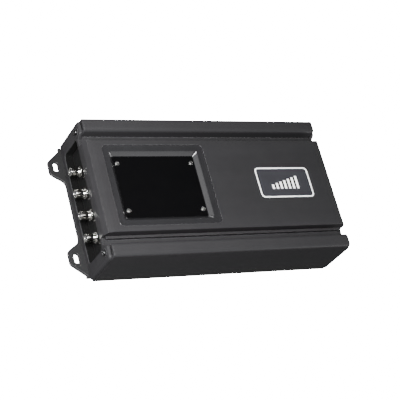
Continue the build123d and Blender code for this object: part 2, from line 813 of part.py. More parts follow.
with BuildPart() as fuse_blades:
    for level in fuse_levels:
        with BuildSketch(Plane.YZ.offset(fuse_front + 0.1)) as blade_pair:
            with Locations((fuse_centre - 6.7, level), (fuse_centre + 6.7, level)):
                Rectangle(5.2, 0.65)
        extrude(amount=-8.5)
save(fuse_blades, "fuse_blades")

# ================= main board =================

with BuildPart() as main_board:
    with BuildSketch(Plane.XY.offset(board_level)) as board_outline:
        with Locations(((board_left + board_right) / 2, 0)):
            Rectangle(board_right - board_left, 2 * board_half_width)
        with GridLocations(standoff_x, 2 * standoff_y, 3, 2):
            Circle(board_screw_radius + slip_gap, mode=Mode.SUBTRACT)
    extrude(amount=board_thickness)
save(main_board, "main_board")

with BuildPart() as board_standoffs:
    with BuildSketch(Plane.XY.offset(base_thickness)) as hexes:
        with GridLocations(standoff_x, 2 * standoff_y, 3, 2):
            RegularPolygon(2.9, 6, major_radius=False)
    extrude(amount=standoff_height)
    with BuildSketch(Plane.XY.offset(base_thickness)) as spigots:
        with GridLocations(standoff_x, 2 * standoff_y, 3, 2):
            Circle(2.2)
    extrude(amount=-base_thickness + 0.3)
    with BuildSketch(Plane.XY.offset(board_level)) as standoff_bores:
        with GridLocations(standoff_x, 2 * standoff_y, 3, 2):
            Circle(board_screw_radius + fit_gap)
    extrude(amount=-5.5, mode=Mode.SUBTRACT)
save(board_standoffs, "board_standoffs")

with BuildPart() as board_screws:
    with BuildSketch(Plane.XY.offset(board_top)) as board_heads:
        with GridLocations(standoff_x, 2 * standoff_y, 3, 2):
            Circle(2.75)
    extrude(amount=1.8)
    with BuildSketch(Plane.XY.offset(board_top)) as board_shanks:
        with GridLocations(standoff_x, 2 * standoff_y, 3, 2):
            Circle(board_screw_radius)
    extrude(amount=-board_thickness - 5.0)
    with BuildSketch(Plane.XY.offset(board_top + 1.8)) as board_cross:
        with GridLocations(standoff_x, 2 * standoff_y, 3, 2):
            Rectangle(2.8, 0.7)
            Rectangle(0.7, 2.8)
    extrude(amount=-1.0, mode=Mode.SUBTRACT)
save(board_screws, "board_screws")

transformer_x = 80.0
transformer_y = 25.0
transformer_level = board_top + 10.5
core_outer = 17.0
core_inner = 10.0
core_half = 6.5

with BuildPart() as toroid_core:
    with BuildSketch(Plane.XY.offset(transformer_level - core_half)) as core_ring:
        with Locations((transformer_x, transformer_y)):
            Circle(core_outer)
            Circle(core_inner, mode=Mode.SUBTRACT)
    extrude(amount=2 * core_half)
save(toroid_core, "toroid_core")

with BuildPart() as toroid_winding:
    turn_count = 20
    for i in range(turn_count):
        turn_plane = Plane(
            origin=(transformer_x, transformer_y, transformer_level),
            x_dir=Vector(1, 0, 0).rotate(Axis.Z, 360 * i / turn_count),
            z_dir=Vector(0, -1, 0).rotate(Axis.Z, 360 * i / turn_count),
        )
        with BuildSketch(turn_plane) as turn_section:
            with Locations(((core_outer + core_inner) / 2, 0)):
                RectangleRounded(core_outer - core_inner + 3.4, 2 * core_half + 3.4, 1.6)
                Rectangle(core_outer - core_inner + 0.4, 2 * core_half + 0.4, mode=Mode.SUBTRACT)
        extrude(amount=0.7, both=True)
save(toroid_winding, "toroid_winding")

capacitor_radius = 8.0
capacitor_height = 30.0
capacitor_places = [(-7.0 + 18.0 * i, y) for i in range(4) for y in (22.0, 42.0)]

with BuildPart() as filter_capacitors:
    with BuildSketch(Plane.XY.offset(board_top)) as capacitor_feet:
        with Locations(*capacitor_places):
            Circle(capacitor_radius)
    extrude(amount=capacitor_height)
    fillet(filter_capacitors.edges().group_by(Axis.Z)[-1], 1.0)
save(filter_capacitors, "filter_capacitors")

inductor_places = [(16.0 + 24.0 * i, -42.0) for i in range(4)]

with BuildPart() as output_inductor_cores:
    with BuildSketch(Plane.XY.offset(board_top + 2.4)) as small_rings:
        with Locations(*inductor_places):
            Circle(9.0)
            Circle(5.0, mode=Mode.SUBTRACT)
    extrude(amount=8)
save(output_inductor_cores, "output_inductor_cores")

with BuildPart() as output_inductor_coils:
    small_turns = 12
    for x, y in inductor_places:
        for i in range(small_turns):
            coil_plane = Plane(
                origin=(x, y, board_top + 6.4),
                x_dir=Vector(1, 0, 0).rotate(Axis.Z, 360 * i / small_turns),
                z_dir=Vector(0, -1, 0).rotate(Axis.Z, 360 * i / small_turns),
            )
            with BuildSketch(coil_plane) as coil_section:
                with Locations((7.0, 0)):
                    RectangleRounded(6.8, 10.8, 1.2)
                    Rectangle(4.4, 8.4, mode=Mode.SUBTRACT)
            extrude(amount=0.5, both=True)
save(output_inductor_coils, "output_inductor_coils")

with BuildPart() as output_capacitors:
    with BuildSketch(Plane.XY.offset(board_top)) as film_feet:
        with Locations(*[(x, -20.0) for x, y in inductor_places]):
            RectangleRounded(18, 8, 0.8)
    extrude(amount=14)
save(output_capacitors, "output_capacitors")

# ================= transistors =================

wall_face = half_width - side_wall


def transistor_row(side):
    """One row of tab transistors against the side wall, with legs bent over to the main board."""
    back = side * (wall_face - pad_thickness)
    front = side * (wall_face - pad_thickness - device_thickness)
    leg_y = side * (board_half_width - 1.5)
    bend = lower_boss_height + boss_half + 0.6
    leg_places = [x + step * 2.54 for x in device_places for step in (-1, 0, 1)]
    bars = [
        (device_places, (back + front) / 2, 10.0, device_thickness, device_foot, device_foot + 15.0),
        (leg_places, (front + leg_y) / 2 + side * 0.3, 0.8, abs(front - leg_y) + 1.2, bend, bend + 0.6),
        (leg_places, front + side * 0.6, 0.8, 0.6, bend + 0.6, device_foot),
        (leg_places, leg_y, 0.8, 0.6, board_top, bend),
    ]
    for places, y, length, width, low, high in bars:
        with BuildSketch(Plane.XY.offset(low)) as feet:
            with Locations(*[(x, y) for x in places]):
                Rectangle(length, width)
        extrude(feet.sketch, amount=high - low)


with BuildPart() as supply_transistors:
    transistor_row(1)
save(supply_transistors, "supply_transistors")

with BuildPart() as output_transistors:
    transistor_row(-1)
save(output_transistors, "output_transistors")

with BuildPart() as thermal_pads:
    for side in (-1, 1):
        pad_plane = Plane(origin=(device_offset, side * wall_face, 0), x_dir=(1, 0, 0), z_dir=(0, -side, 0))
        up = 1 if pad_plane.y_dir.Z > 0 else -1
        with BuildSketch(pad_plane) as pad_outline:
            with Locations((0, up * (device_foot + 7.5))):
                Rectangle(device_count * device_pitch, 17)
            with Locations(*[(x - device_offset, up * clamp_level) for x in clamp_screw_places]):
                Circle(window_screw_radius + slip_gap, mode=Mode.SUBTRACT)
        extrude(amount=pad_thickness)
save(thermal_pads, "thermal_pads")

with BuildPart() as clamp_bars:
    for side in (-1, 1):
        bar_plane = Plane(origin=(device_offset, side * bar_face, 0), x_dir=(1, 0, 0), z_dir=(0, side, 0))
        up = 1 if bar_plane.y_dir.Z > 0 else -1
        with BuildSketch(bar_plane) as bar_outline:
            with Locations((0, up * clamp_level)):
                Rectangle(device_count * device_pitch, 9)
            with Locations(*[(x - device_offset, up * clamp_level) for x in clamp_screw_places]):
                Circle(window_screw_radius + slip_gap, mode=Mode.SUBTRACT)
        extrude(amount=clamp_bar)
save(clamp_bars, "clamp_bars")

with BuildPart() as clamp_screws:
    for side in (-1, 1):
        for x in clamp_screw_places:
            with BuildSketch(Plane(origin=(x, side * bar_face, clamp_level), z_dir=(0, side, 0))) as clamp_shank:
                Circle(window_screw_radius)
            extrude(amount=wall_face + 1.8 - bar_face)
            with BuildSketch(Plane(origin=(x, side * bar_face, clamp_level), z_dir=(0, -side, 0))) as clamp_head:
                Circle(2.7)
            extrude(amount=1.6)
save(clamp_screws, "clamp_screws")

# ================= control bay =================

control_panel_thickness = 1.2
knob_top = pane_under - knob_gap
pot_top = control_board_level + board_thickness + 6.4
knob_places = [
    (window_offset + sx * control_pitch_x, sy * control_row_y) for sy in (-1, 1) for sx in (-1, 0, 1)
]
slider_places = [(window_offset + sx * control_pitch_x, 0.0) for sx in (-1, 0, 1)]
control_posts_x = 66.0
control_posts_y = 52.0

with BuildPart() as control_panel:
    with BuildSketch(Plane.XY.offset(control_panel_level)) as control_outline:
        with Locations((window_offset, 0)):
            Rectangle(2 * window_screw_x + 10, 2 * window_screw_y + 16)
        with Locations(*window_screw_places):
            Circle(window_screw_radius + fit_gap, mode=Mode.SUBTRACT)
        with Locations(*knob_places):
            Circle(shaft_radius + free_gap, mode=Mode.SUBTRACT)
        with Locations(*slider_places):
            Rectangle(3.0 + 2 * slider_travel + 2 * free_gap, 3.0 + 2 * free_gap, mode=Mode.SUBTRACT)
    extrude(amount=-control_panel_thickness)
save(control_panel, "control_panel")

with BuildPart() as control_board:
    with BuildSketch(Plane.XY.offset(control_board_level)) as control_board_outline:
        with Locations((window_offset, 0)):
            Rectangle(control_posts_x + 8, control_posts_y + 8)
    extrude(amount=board_thickness)
save(control_board, "control_board")

with BuildPart() as control_posts:
    with BuildSketch(Plane.XY.offset(control_board_level + board_thickness)) as post_feet:
        with Locations((window_offset, 0)):
            with GridLocations(control_posts_x, control_posts_y, 2, 2):
                Circle(2.5)
    extrude(amount=control_panel_level - control_panel_thickness - control_board_level - board_thickness)
save(control_posts, "control_posts")

with BuildPart() as control_pots:
    with BuildSketch(Plane.XY.offset(control_board_level + board_thickness)) as pot_feet:
        with Locations(*knob_places):
            RectangleRounded(10, 11, 0.6)
    extrude(amount=6.4)
    with BuildSketch(Plane.XY.offset(pot_top)) as pot_bores:
        with Locations(*knob_places):
            Circle(shaft_radius + running_gap)
    extrude(amount=-4.0, mode=Mode.SUBTRACT)
save(control_pots, "control_pots")

knob_names = [
    "knob_front_gain",
    "knob_front_filter",
    "knob_front_bass",
    "knob_rear_gain",
    "knob_rear_filter",
    "knob_rear_bass",
]
for name, (x, y) in zip(knob_names, knob_places):
    with BuildPart() as knob:
        with BuildSketch(Plane.XY.offset(pot_top - 3.7)) as shaft:
            with Locations((x, y)):
                Circle(shaft_radius)
        extrude(amount=knob_top - pot_top + 3.7)
        with BuildSketch(Plane.XY.offset(control_panel_level + 0.6)) as cap:
            with Locations((x, y)):
                Circle(knob_radius)
        extrude(amount=knob_top - control_panel_level - 0.6)
        fillet(knob.edges().group_by(Axis.Z)[-1], 0.4)
        with BuildSketch(Plane.XY.offset(knob_top)) as driver_slot:
            with Locations((x, y + knob_radius / 2)):
                Rectangle(1.2, knob_radius + 1)
        extrude(amount=-1.2, mode=Mode.SUBTRACT)
    save(knob, name)

with BuildPart() as switch_bodies:
    with BuildSketch(Plane.XY.offset(control_board_level + board_thickness)) as switch_feet:
        with Locations(*slider_places):
            RectangleRounded(13, 7, 0.5)
    extrude(amount=6.0)
    with BuildSketch(Plane.XY.offset(control_board_level + board_thickness + 6.0)) as switch_slots:
        with Locations(*slider_places):
            Rectangle(3.0 + 2 * slider_travel + 2 * free_gap, 3.0 + 2 * free_gap)
    extrude(amount=-3.0, mode=Mode.SUBTRACT)
save(switch_bodies, "switch_bodies")

slider_names = ["slider_front_crossover", "slider_input_mode", "slider_rear_crossover"]
for name, (x, y) in zip(slider_names, slider_places):
    with BuildPart() as slider:
        with BuildSketch(Plane.XY.offset(control_board_level + board_thickness + 3.3)) as lever:
            with Locations((x, y)):
                Rectangle(3.0, 3.0)
        extrude(amount=control_panel_level + 2.0 - control_board_level - board_thickness - 3.3)
        fillet(slider.edges().group_by(Axis.Z)[-1], 0.4)
    save(slider, name)
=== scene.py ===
"""Smooth small parts, finishes, lights and camera for a compact four-channel car amplifier.

The packed model is the frame: its extrusion, caps, plates, boards and terminals stay as they are and
get their finishes here. The window frame, screws, jacks, nuts and badge line are made again as smooth
surfaces in the same places. Sizes in the property groups are in metres, as the frame is.
"""

import math

import bmesh
import bpy
import numpy as np
from mathutils import Matrix, Vector


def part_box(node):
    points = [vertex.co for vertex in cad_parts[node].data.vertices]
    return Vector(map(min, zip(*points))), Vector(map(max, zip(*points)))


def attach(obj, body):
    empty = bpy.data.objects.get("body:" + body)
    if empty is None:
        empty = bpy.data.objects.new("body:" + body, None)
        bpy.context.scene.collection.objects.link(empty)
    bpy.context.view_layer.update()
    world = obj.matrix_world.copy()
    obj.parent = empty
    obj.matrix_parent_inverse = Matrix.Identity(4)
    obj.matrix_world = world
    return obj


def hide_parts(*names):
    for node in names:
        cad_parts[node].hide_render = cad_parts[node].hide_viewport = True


bl_info = {
    "name": "Car Amplifier Looks",
    "version": (1, 0, 0),
    "blender": (4, 5, 0),
    "location": "3D View > Sidebar > Amplifier",
    "description": "Builds the smooth parts, finishes and studio of a compact car amplifier",
    "category": "Add Mesh",
}

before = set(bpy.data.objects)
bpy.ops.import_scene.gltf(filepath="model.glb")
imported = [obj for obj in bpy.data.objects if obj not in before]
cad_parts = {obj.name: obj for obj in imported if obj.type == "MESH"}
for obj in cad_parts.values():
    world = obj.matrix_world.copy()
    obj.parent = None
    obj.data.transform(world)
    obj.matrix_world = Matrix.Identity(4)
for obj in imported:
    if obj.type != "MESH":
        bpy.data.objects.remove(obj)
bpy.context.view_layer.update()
MM = 0.001
HOUSING = "housing"
# GREY is the lighter edge colour of the coats: partly wear, partly painted highlight.
GREY = (0.30, 0.30, 0.31)
STEEL = (0.55, 0.55, 0.57)
DUST = (0.42, 0.41, 0.39)
# Painted shade: near-black colour and matt roughness laid inside the end caps' mouths, where shade falls.
RECESS_PAINTED_SHADE = (0.0015, 0.0015, 0.0015)
RECESS_ROUGHNESS = 0.9
PANEL_LAP = 1.0 * MM
LIP_DEPTH = 1.3 * MM
PANE_SCREW_REACH = 41.0 * MM
CAP_HEAD_HEIGHT = 2.0 * MM
TERMINAL_HEAD_HEIGHT = 1.4 * MM
BADGE_CORNER = 4.4 * MM


# ---------------------------------------------------------------- user settings


class AmplifierFinish(bpy.types.PropertyGroup):
    """Colours and gloss of the amplifier's finishes"""

    coat_colour: bpy.props.FloatVectorProperty(
        name="Coat", description="Satin coat on the extrusion, caps and cover", subtype="COLOR", size=3,
        default=(0.0156, 0.0153, 0.0164), min=0.0, max=1.0,
    )
    coat_roughness: bpy.props.FloatProperty(
        name="Coat roughness", description="How matt the satin coat is", default=0.42, min=0.0, max=1.0,
        subtype="FACTOR",
    )
    plate_colour: bpy.props.FloatVectorProperty(
        name="Plates", description="Paint on the base plate and end panels", subtype="COLOR", size=3,
        default=(0.008, 0.008, 0.0085), min=0.0, max=1.0,
    )
    frame_colour: bpy.props.FloatVectorProperty(
        name="Window frame", description="Moulded frame round the window", subtype="COLOR", size=3,
        default=(0.010, 0.010, 0.011), min=0.0, max=1.0,
    )
    pane_colour: bpy.props.FloatVectorProperty(
        name="Pane", description="Smoked window pane", subtype="COLOR", size=3,
        default=(0.0012, 0.0012, 0.0014), min=0.0, max=1.0,
    )
    nickel_colour: bpy.props.FloatVectorProperty(
        name="Nickel", description="Plating on the jacks, nuts and screws", subtype="COLOR", size=3,
        default=(0.74, 0.73, 0.70), min=0.0, max=1.0,
    )
    badge_line_colour: bpy.props.FloatVectorProperty(
        name="Badge line", description="Enamel of the badge's border and bars", subtype="COLOR", size=3,
        default=(0.97, 0.97, 0.97), min=0.0, max=1.0,
    )
    board_colour: bpy.props.FloatVectorProperty(
        name="Boards", description="Solder mask on the circuit boards", subtype="COLOR", size=3,
        default=(0.012, 0.10, 0.04), min=0.0, max=1.0,
    )
    edge_radius: bpy.props.FloatProperty(
        name="Edge softness", description="Radius over which sharp corners catch the light",
        default=0.45 * MM, min=0.0, soft_max=2 * MM, unit="LENGTH",
    )


class AmplifierSizes(bpy.types.PropertyGroup):
    """Sizes of the parts that are made again as smooth surfaces"""

    frame_slope: bpy.props.FloatProperty(
        name="Window slope", description="Width and drop of the slope from the rim to the pane",
        default=4.0 * MM, min=1.0 * MM, unit="LENGTH",
    )
    frame_rim_length: bpy.props.FloatProperty(
        name="Rim length", description="Length of the rim where the dished ring meets the slope",
        default=98.5 * MM, min=20 * MM, unit="LENGTH",
    )
    frame_rim_width: bpy.props.FloatProperty(
        name="Rim width", description="Width of the rim where the dished ring meets the slope",
        default=76.0 * MM, min=20 * MM, unit="LENGTH",
    )
    window_head_radius: bpy.props.FloatProperty(
        name="Window screw head", description="Radius of the window's screw heads",
        default=2.35 * MM, min=1.0 * MM, unit="LENGTH",
    )
    cap_head_radius: bpy.props.FloatProperty(
        name="Cap screw head", description="Radius of the end caps' screw heads",
        default=3.0 * MM, min=1.0 * MM, unit="LENGTH",
    )
    barrel_radius: bpy.props.FloatProperty(
        name="Jack barrel", description="Outside radius of a jack's barrel",
        default=4.15 * MM, min=1.0 * MM, unit="LENGTH",
    )
    thread_radius: bpy.props.FloatProperty(
        name="Jack thread", description="Outside radius of a jack's barrel behind its nut",
        default=3.9 * MM, min=1.0 * MM, unit="LENGTH",
    )
    barrel_wall: bpy.props.FloatProperty(
        name="Jack wall", description="Thickness of a jack's barrel", default=0.8 * MM, min=0.2 * MM,
        unit="LENGTH",
    )
    nut_across: bpy.props.FloatProperty(
        name="Nut across flats", description="Width of a jack's nut across its flats",
        default=10.0 * MM, min=9 * MM, unit="LENGTH",
    )
    border_line: bpy.props.FloatProperty(
        name="Badge line", description="Width of the badge's border line", default=1.4 * MM,
        min=0.3 * MM, unit="LENGTH",
    )


class AmplifierStage(bpy.types.PropertyGroup):
    """Floor, lights and camera"""

    floor_size: bpy.props.FloatProperty(
        name="Floor size", description="Side of the square floor", default=16.0, min=1.0, unit="LENGTH",
    )
    floor_glow: bpy.props.FloatProperty(
        name="Floor white", description="How far the floor is lifted towards white", default=24.0, min=0.0,
    )
    camera_place: bpy.props.FloatVectorProperty(
        name="Camera place", description="Where the camera stands", subtype="TRANSLATION", size=3,
        unit="LENGTH", default=(-0.64424, -0.51883, 1.03303),
    )
    camera_heading: bpy.props.FloatVectorProperty(
        name="Camera heading", description="Direction that the camera looks in", subtype="DIRECTION",
        size=3, default=(0.48987, 0.39802, -0.77563),
    )
    camera_upright: bpy.props.FloatVectorProperty(
        name="Camera upright", description="Direction of the top of the view", subtype="DIRECTION", size=3,
        default=(0.01979, 0.88439, 0.46633),
    )
    lens: bpy.props.FloatProperty(
        name="Lens", description="Focal length on a 36 mm wide sensor, in millimetres", default=114.6,
        min=20.0,
    )


# ---------------------------------------------------------------- surfaces


def corner_ring(rows, centre, steps=14):
    """Rounded rectangles stacked row by row. rows holds half length, half width, corner radius and height.

    A point is the corner's centre, which is the half sizes less the radius, plus the radius times the
    cosine and sine of an angle that turns a quarter round at each of the four corners.
    """
    rows = np.asarray(rows, float)
    half_x, half_y, radius, height = [rows[:, i, None] for i in range(4)]
    quarter = np.linspace(0.0, math.pi / 2, steps)
    turn = (np.arange(4)[:, None] * math.pi / 2 + quarter).ravel()
    sign_x = np.repeat([1, -1, -1, 1], steps)
    sign_y = np.repeat([1, 1, -1, -1], steps)
    x = centre[0] + sign_x * (half_x - radius) + radius * np.cos(turn)
    y = centre[1] + sign_y * (half_y - radius) + radius * np.sin(turn)
    return np.stack([x, y, np.broadcast_to(height, x.shape)], axis=-1)


def turned(outline, steps=96):
    """A lathe surface about Z: each point is its radius times the cosine and sine of the turn."""
    outline = np.asarray(outline, float)
    turn = np.linspace(0.0, 2 * math.pi, steps, endpoint=False)
    x = outline[:, 0, None] * np.cos(turn)
    y = outline[:, 0, None] * np.sin(turn)
    return np.stack([x, y, np.broadcast_to(outline[:, 1, None], x.shape)], axis=-1)


def softened(corners, radii, steps=5):
    """An outline with its corners eased, each to a parabola between points a radius back on both sides."""
    corners = np.asarray(corners, float)
    before = np.roll(corners, 1, axis=0) - corners
    after = np.roll(corners, -1, axis=0) - corners
    radii = np.asarray(radii, float)[:, None]
    start = corners + before / np.maximum(np.linalg.norm(before, axis=1, keepdims=True), 1e-9) * radii
    end = corners + after / np.maximum(np.linalg.norm(after, axis=1, keepdims=True), 1e-9) * radii
    t = np.linspace(0.0, 1.0, steps)[None, :, None]
    eased = (1 - t) ** 2 * start[:, None] + 2 * t * (1 - t) * corners[:, None] + t**2 * end[:, None]
    return eased.reshape(-1, corners.shape[1])


def falls(value, limit, blur):
    """1 inside the limit, 0 outside it, with a straight change over twice the blur."""
    return np.clip((limit + blur - value) / (2 * blur), 0.0, 1.0)


def screw_head(radius, height, shank, length, recess):
    """A pan head and its shank, pointing up Z, with its underside at height 0.

    The top is a dome: height times one less a third of the squared share of the radius. A recess is cut
    by lowering the top where a cross or slot mask is 1, a little deeper towards the middle of a cross.
    """
    share = np.concatenate([np.linspace(0.0, 0.86, 30), np.linspace(0.89, 1.0, 7)])
    r = radius * share
    z = height * (1.0 - 0.30 * share**2 - 0.35 * np.clip((share - 0.86) / 0.14, 0.0, 1.0) ** 2.2)
    under = [(radius, 0.12 * height), (radius * 0.96, 0.0), (shank, 0.0), (shank, -length), (0.0, -length)]
    outline = np.vstack([np.stack([r, z], axis=1), under])
    points = turned(outline)
    x, y = np.abs(points[..., 0]), np.abs(points[..., 1])
    blur = 0.03 * radius
    if recess == "cross":
        arm, reach = 0.13 * radius, 0.60 * radius
        one = falls(x, reach, blur) * falls(y, arm, blur)
        two = falls(y, reach, blur) * falls(x, arm, blur)
        core = falls(np.hypot(x, y), 0.24 * radius, 0.06 * radius)
        mask = np.maximum(np.maximum(one, two), core) * (1.0 - 0.3 * np.hypot(x, y) / reach)
    else:
        mask = falls(x, 0.12 * radius, blur)
    top = np.arange(len(outline)) < len(share)
    points[..., 2] -= 0.55 * height * mask * top[:, None]
    return points


def hexagon_nut(across, bore, thickness):
    """A chamfered hexagon nut along Z. Its radius is half the flats' distance over the cosine of the angle
    from the nearest flat's middle, held inside a cone that opens away from each end face."""
    half = across / 2
    turn = np.linspace(0.0, 2 * math.pi, 144, endpoint=False)
    flat = (turn + math.pi / 6) % (math.pi / 3) - math.pi / 6
    hexagon = half / np.cos(flat)
    ends, middle = np.linspace(0.0, 0.18, 8), np.linspace(0.25, 0.75, 5)
    depth = np.concatenate([ends, middle, np.linspace(0.82, 1.0, 8)])
    height = depth * thickness
    inside = np.minimum(height, thickness - height)
    cone = half * 0.965 + inside[:, None] * 1.7
    outer = np.minimum(hexagon[None, :], cone)
    ease = 0.35 * MM
    lip = np.array([bore, bore + ease])[:, None] * np.ones_like(turn)
    radius = np.vstack([lip, outer, lip[::-1]])
    level = np.concatenate([[ease, 0.0], height, [thickness, thickness - ease]])
    x = radius * np.cos(turn)
    y = radius * np.sin(turn)
    return np.stack([x, y, np.broadcast_to(level[:, None], x.shape)], axis=-1)


def aimed(points, direction):
    """Points made along Z, turned so that their Z runs along -X or +X, or left along +Z."""
    if direction == "+z":
        return points
    sign = -1.0 if direction == "-x" else 1.0
    return np.stack([sign * points[..., 2], sign * points[..., 0], points[..., 1]], axis=-1)


def quads(rows, columns, closed):
    """Corner numbers of a grid's faces. The grid is closed round its columns and, where asked, its rows."""
    i = np.arange(rows if closed else rows - 1)[:, None]
    j = np.arange(columns)[None, :]
    below, beside = (i + 1) % rows, (j + 1) % columns
    corners = [i * columns + j, i * columns + beside, below * columns + beside, below * columns + j]
    return np.stack([np.broadcast_to(c, (i.size, j.size)) for c in corners], axis=-1).reshape(-1, 4)


def make_piece(name, grid, places, closed, material, stands_for):
    """One object from a grid of points repeated at every place, riding on the housing.

    Points that meet are merged, so poles and seams are closed, and the faces are turned outwards.
    """
    rows, columns = grid.shape[:2]
    base = grid.reshape(-1, 3)
    places = np.asarray(places, float).reshape(-1, 3)
    points = (base[None] + places[:, None]).reshape(-1, 3)
    faces = quads(rows, columns, closed)
    faces = (faces[None] + np.arange(len(places))[:, None, None] * len(base)).reshape(-1, 4)
    mesh = bpy.data.meshes.new(name)
    mesh.from_pydata(points.tolist(), [], faces.tolist())
    shape = bmesh.new()
    shape.from_mesh(mesh)
    bmesh.ops.remove_doubles(shape, verts=shape.verts, dist=2e-6)
    bmesh.ops.recalc_face_normals(shape, faces=shape.faces)
    shape.to_mesh(mesh)
    shape.free()
    mesh.polygons.foreach_set("use_smooth", np.ones(len(mesh.polygons), bool))
    mesh.set_sharp_from_angle(angle=math.radians(38))
    if not len(mesh.polygons):
        raise RuntimeError(f"{name} has no faces")
    piece = bpy.data.objects.new(name, mesh)
    bpy.context.scene.collection.objects.link(piece)
    mesh.materials.append(material)
    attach(piece, HOUSING)
    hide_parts(*stands_for)
    return piece


def centre_of(node):
    low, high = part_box(node)
    return [(a + b) / 2 for a, b in zip(low, high)]


# ---------------------------------------------------------------- shader groups


def new_group(name, inputs, outputs):
    """An empty shader group with its own named sockets: float inputs with defaults, and outputs by kind."""
    tree = bpy.data.node_groups.new(name, "ShaderNodeTree")
    for label, value in inputs:
        socket = tree.interface.new_socket(name=label, in_out="INPUT", socket_type="NodeSocketFloat")
        socket.default_value = value
    for label, kind in outputs:
        tree.interface.new_socket(name=label, in_out="OUTPUT", socket_type=kind)
    return tree, tree.nodes.new("NodeGroupInput"), tree.nodes.new("NodeGroupOutput")


def math_node(tree, operation, first, second=None, third=None, clamp=False):
    """A Math node whose inputs are sockets or plain numbers."""
    node = tree.nodes.new("ShaderNodeMath")
    node.operation = operation
    node.use_clamp = clamp
    for socket, value in zip(node.inputs, (first, second, third)):
        if isinstance(value, (int, float)):
            socket.default_value = value
        elif value is not None:
            tree.links.new(value, socket)
    return node.outputs[0]


def noise(tree, vector, scale, detail=2.0, roughness=0.5):
    """A noise pattern at a scale that is a number or a socket."""
    node = tree.nodes.new("ShaderNodeTexNoise")
    node.inputs["Detail"].default_value = detail
    node.inputs["Roughness"].default_value = roughness
    tree.links.new(vector, node.inputs["Vector"])
    if isinstance(scale, (int, float)):
        node.inputs["Scale"].default_value = scale
    else:
        tree.links.new(scale, node.inputs["Scale"])
    return node.outputs["Fac"]


def grain_group():
    """Fine grain for bump and broad clouding for tone. Each is a noise of the object's own coordinates."""
    tree, given, out = new_group(
        "surface grain",
        [("Grains per metre", 3000.0), ("Clouds per metre", 25.0), ("Along X", 1.0)],
        [("Height", "NodeSocketFloat"), ("Clouding", "NodeSocketFloat")],
    )
    place = tree.nodes.new("ShaderNodeTexCoord")
    split = tree.nodes.new("ShaderNodeSeparateXYZ")
    join = tree.nodes.new("ShaderNodeCombineXYZ")
    tree.links.new(place.outputs["Object"], split.inputs[0])
    tree.links.new(math_node(tree, "MULTIPLY", split.outputs[0], given.outputs["Along X"]), join.inputs[0])
    tree.links.new(split.outputs[1], join.inputs[1])
    tree.links.new(split.outputs[2], join.inputs[2])
    fine = noise(tree, join.outputs[0], given.outputs["Grains per metre"], 2.0, 0.55)
    broad = noise(tree, join.outputs[0], given.outputs["Clouds per metre"], 3.0, 0.6)
    tree.links.new(fine, out.inputs["Height"])
    tree.links.new(broad, out.inputs["Clouding"])
    return tree


def edge_group():
    """Rounded normals at sharp corners, and a mask that is 1 where they turn away from the flat face. The
    mask lightens the colour at edges: partly wear, partly painted highlight.
    """
    tree, given, out = new_group(
        "edge wear and highlight",
        [("Radius", 0.0004), ("Reach", 4.0), ("Break-up", 0.4)],
        [("Mask", "NodeSocketFloat"), ("Normal", "NodeSocketVector")],
    )
    bevel = tree.nodes.new("ShaderNodeBevel")
    bevel.samples = 6
    shape = tree.nodes.new("ShaderNodeNewGeometry")
    place = tree.nodes.new("ShaderNodeTexCoord")
    dot = tree.nodes.new("ShaderNodeVectorMath")
    dot.operation = "DOT_PRODUCT"
    tree.links.new(given.outputs["Radius"], bevel.inputs["Radius"])
    tree.links.new(bevel.outputs[0], dot.inputs[0])
    tree.links.new(shape.outputs["Normal"], dot.inputs[1])
    away = math_node(tree, "SUBTRACT", 1.0, dot.outputs["Value"], clamp=True)
    spread = math_node(tree, "MULTIPLY", away, given.outputs["Reach"], clamp=True)
    breakup_noise = noise(tree, place.outputs["Object"], 420.0, 3.0, 0.6)
    kept = math_node(tree, "MULTIPLY", breakup_noise, given.outputs["Break-up"])
    mask = math_node(tree, "SUBTRACT", spread, kept, clamp=True)
    tree.links.new(mask, out.inputs["Mask"])
    tree.links.new(bevel.outputs[0], out.inputs["Normal"])
    return tree


def dust_group():
    """A thin uneven film on upward faces: the height part of the normal times a cloudy noise."""
    tree, given, out = new_group(
        "settled dust", [("Amount", 0.05), ("Patches per metre", 60.0)], [("Mask", "NodeSocketFloat")],
    )
    shape = tree.nodes.new("ShaderNodeNewGeometry")
    split = tree.nodes.new("ShaderNodeSeparateXYZ")
    place = tree.nodes.new("ShaderNodeTexCoord")
    tree.links.new(shape.outputs["Normal"], split.inputs[0])
    upward = math_node(tree, "MULTIPLY_ADD", split.outputs[2], 2.0, -1.0, clamp=True)
    cloud = noise(tree, place.outputs["Object"], given.outputs["Patches per metre"], 6.0, 0.65)
    patch = math_node(tree, "MULTIPLY", upward, cloud)
    film = math_node(tree, "MULTIPLY", patch, given.outputs["Amount"], clamp=True)
    tree.links.new(film, out.inputs["Mask"])
    return tree


SHARED_GROUPS = {"surface grain": grain_group, "edge wear and highlight": edge_group, "settled dust": dust_group}


def shared(tree, name, **values):
    """The shared group of that name as a node of this material, with its own values."""
    node = tree.nodes.new("ShaderNodeGroup")
    node.node_tree = bpy.data.node_groups.get(name) or SHARED_GROUPS[name]()
    for label, value in values.items():
        node.inputs[label.replace("_", " ")].default_value = value
    return node


def mix_colour(tree, amount, first, second):
    """A colour between two, each a socket or a plain colour."""
    node = tree.nodes.new("ShaderNodeMix")
    node.data_type = "RGBA"
    tree.links.new(amount, node.inputs["Factor"])
    for socket, value in ((node.inputs[6], first), (node.inputs[7], second)):
        if isinstance(value, bpy.types.NodeSocket):
            tree.links.new(value, socket)
        else:
            socket.default_value = (*value, 1.0)
    return node.outputs[2]


